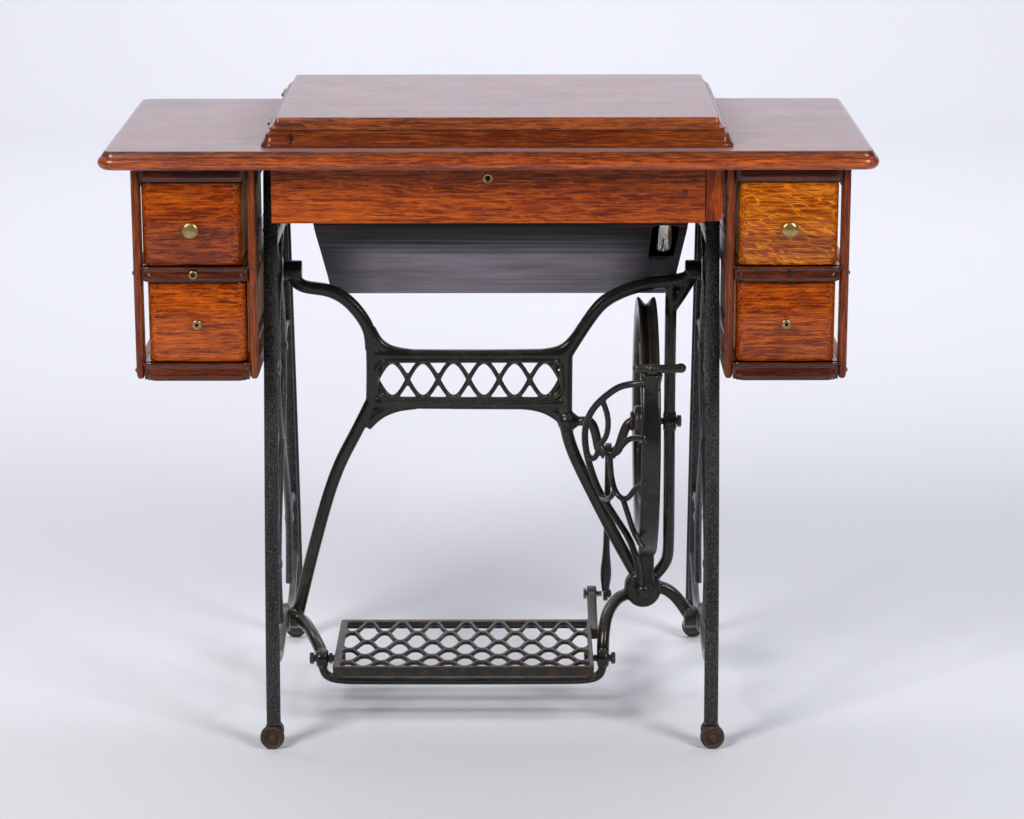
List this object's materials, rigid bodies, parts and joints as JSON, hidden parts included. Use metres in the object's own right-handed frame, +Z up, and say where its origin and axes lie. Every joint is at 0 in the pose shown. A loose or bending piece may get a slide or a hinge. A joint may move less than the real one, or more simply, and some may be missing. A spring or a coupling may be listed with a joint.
{
  "type": "sewing machine",
  "caption": "Treadle sewing machine table: openwork cast iron stand with band wheel and treadle, oak top, small drawers and a drop head under a closed lid.",
  "frame": {"origin": "on the floor, at the centre of the four feet", "axes": "+Z up, -Y towards the operator, +X to the operator's right along the table"},
  "size_m": [0.9306, 0.4506, 0.784],
  "materials": {
    "oak": "golden-brown oak under aged varnish",
    "oak_dark": "dark red-brown varnished oak",
    "ebonised_wood": "glossy blackened wood",
    "japanned_iron": "gloss black japan, worn",
    "worn_iron": "worn and dusty iron",
    "rusty_iron": "rusted iron",
    "brass": "aged brass",
    "nickel": "nickel plate",
    "steel": "turned steel"
  },
  "bodies": {
    "stand": {"axle_screw_left": "steel", "axle_screw_right": "steel", "belly_pan": "ebonised_wood", "bottom_shelf_left": "oak_dark", "bottom_shelf_right": "oak_dark", "brace": "japanned_iron", "case_side_inner_left": "oak_dark", "case_side_inner_right": "oak_dark", "case_side_outer_left": "oak_dark", "case_side_outer_right": "oak_dark", "case_top_rail_left": "oak_dark", "case_top_rail_right": "oak_dark", "dress_guard": "japanned_iron", "head_hinge_rod": "steel", "lid_hinge_front": "brass", "lid_hinge_rear": "brass", "lid_surround": "oak_dark", "middle_shelf_left": "oak_dark", "middle_shelf_right": "oak_dark", "rail_left": "oak_dark", "rail_right": "oak", "rear_rail": "oak_dark", "side_frame_left": "japanned_iron", "side_frame_right": "japanned_iron", "table_top": "oak", "treadle_screw_left": "steel", "treadle_screw_right": "steel"},
    "treadle": {"treadle": "worn_iron", "pitman_pin": "steel"},
    "band_wheel": {"band_wheel": "japanned_iron", "crankshaft": "worn_iron"},
    "pitman": {"pitman": "japanned_iron"},
    "belt_shifter": {"belt_shifter": "worn_iron"},
    "lid": {"lid": "oak"},
    "front_flap": {"front_flap": "oak", "flap_escutcheon": "brass"},
    "drawer_upper_left": {"drawer_upper_left": "oak", "knob_upper_left": "brass"},
    "drawer_lower_left": {"drawer_lower_left": "oak", "knob_lower_left": "brass"},
    "drawer_upper_right": {"drawer_upper_right": "oak", "knob_upper_right": "brass"},
    "drawer_lower_right": {"drawer_lower_right": "oak", "knob_lower_right": "brass"},
    "caster_front_left": {"caster_front_left": "rusty_iron"},
    "caster_front_right": {"caster_front_right": "rusty_iron"},
    "caster_rear_left": {"caster_rear_left": "rusty_iron"},
    "caster_rear_right": {"caster_rear_right": "rusty_iron"},
    "head": {"head_bed": "japanned_iron", "head_arm": "japanned_iron", "face_plate": "nickel", "slide_plate": "nickel", "shuttle_carrier": "steel"},
    "hand_wheel": {"hand_wheel": "nickel", "main_shaft": "steel"},
    "needle_bar": {"needle_bar": "steel"},
    "presser_bar": {"presser_bar": "steel"},
    "presser_lifter": {"presser_lifter": "nickel"},
    "take_up_lever": {"take_up_lever": "nickel"}
  },
  "joints": [
    {"name": "treadle_rock", "type": "hinge", "parent": "stand", "child": "treadle", "pos_m": [0, -0.06, 0.064], "axis": [1, 0, 0], "range_deg": [0, 26.25]},
    {"name": "wheel_spin", "type": "hinge", "parent": "stand", "child": "band_wheel", "pos_m": [0.1975, 0.03, 0.356], "axis": [1, 0, 0], "continuous": true},
    {"name": "pitman_swing", "type": "hinge", "parent": "band_wheel", "child": "pitman", "pos_m": [0.1495, 0.03, 0.314], "axis": [1, 0, 0], "continuous": true},
    {"name": "belt_shifter_turn", "type": "hinge", "parent": "stand", "child": "belt_shifter", "pos_m": [0.1985, -0.1235, 0.4585], "axis": [0, 0, 1], "range_deg": [-15, 25]},
    {"name": "lid_hinge", "type": "hinge", "parent": "stand", "child": "lid", "pos_m": [-0.2684, 0, 0.76985], "axis": [0, -1, 0], "range_deg": [0, 180]},
    {"name": "head_swing", "type": "hinge", "parent": "stand", "child": "head", "pos_m": [0, 0.1, 0.742], "axis": [-1, 0, 0], "range_deg": [0, 85]},
    {"name": "front_flap_tip", "type": "hinge", "parent": "stand", "child": "front_flap", "pos_m": [0, -0.1795, 0.6605], "axis": [1, 0, 0], "range_deg": [0, 50]},
    {"name": "drawer_upper_left_slide", "type": "slide", "parent": "stand", "child": "drawer_upper_left", "axis": [0, -1, 0], "range_m": [0, 0.25]},
    {"name": "drawer_lower_left_slide", "type": "slide", "parent": "stand", "child": "drawer_lower_left", "axis": [0, -1, 0], "range_m": [0, 0.25]},
    {"name": "drawer_upper_right_slide", "type": "slide", "parent": "stand", "child": "drawer_upper_right", "axis": [0, -1, 0], "range_m": [0, 0.25]},
    {"name": "drawer_lower_right_slide", "type": "slide", "parent": "stand", "child": "drawer_lower_right", "axis": [0, -1, 0], "range_m": [0, 0.25]},
    {"name": "caster_front_left_roll", "type": "hinge", "parent": "stand", "child": "caster_front_left", "pos_m": [-0.2735, -0.2165, 0.015], "axis": [0, 1, 0], "continuous": true},
    {"name": "caster_front_right_roll", "type": "hinge", "parent": "stand", "child": "caster_front_right", "pos_m": [0.2735, -0.2165, 0.015], "axis": [0, 1, 0], "continuous": true},
    {"name": "caster_rear_left_roll", "type": "hinge", "parent": "stand", "child": "caster_rear_left", "pos_m": [-0.2735, 0.2165, 0.015], "axis": [0, 1, 0], "continuous": true},
    {"name": "caster_rear_right_roll", "type": "hinge", "parent": "stand", "child": "caster_rear_right", "pos_m": [0.2735, 0.2165, 0.015], "axis": [0, 1, 0], "continuous": true},
    {"name": "hand_wheel_turn", "type": "hinge", "parent": "head", "child": "hand_wheel", "pos_m": [0.2125, -0.07213, 0.66772], "axis": [1, 0, 0], "continuous": true},
    {"name": "needle_bar_slide", "type": "slide", "parent": "head", "child": "needle_bar", "axis": [0, -0.9962, 0.0872], "range_m": [-0.018, 0.018]},
    {"name": "presser_bar_slide", "type": "slide", "parent": "head", "child": "presser_bar", "axis": [0, -0.9962, 0.0872], "range_m": [0, 0.01]},
    {"name": "presser_lifter_turn", "type": "hinge", "parent": "head", "child": "presser_lifter", "pos_m": [-0.134, -0.02072, 0.68159], "axis": [0, 0.0872, 0.9962], "range_deg": [-70, 0]},
    {"name": "take_up_lever_turn", "type": "hinge", "parent": "head", "child": "take_up_lever", "pos_m": [-0.133, -0.06874, 0.64905], "axis": [0, 0.0872, 0.9962], "range_deg": [-25, 25]}
  ],
  "couplings": [
    {"joint": "wheel_spin", "follows": "treadle_rock", "ratio": 6.8563},
    {"joint": "pitman_swing", "follows": "treadle_rock", "ratio": -7.1632},
    {"joint": "head_swing", "follows": "lid_hinge", "ratio": 0.47221}
  ]
}
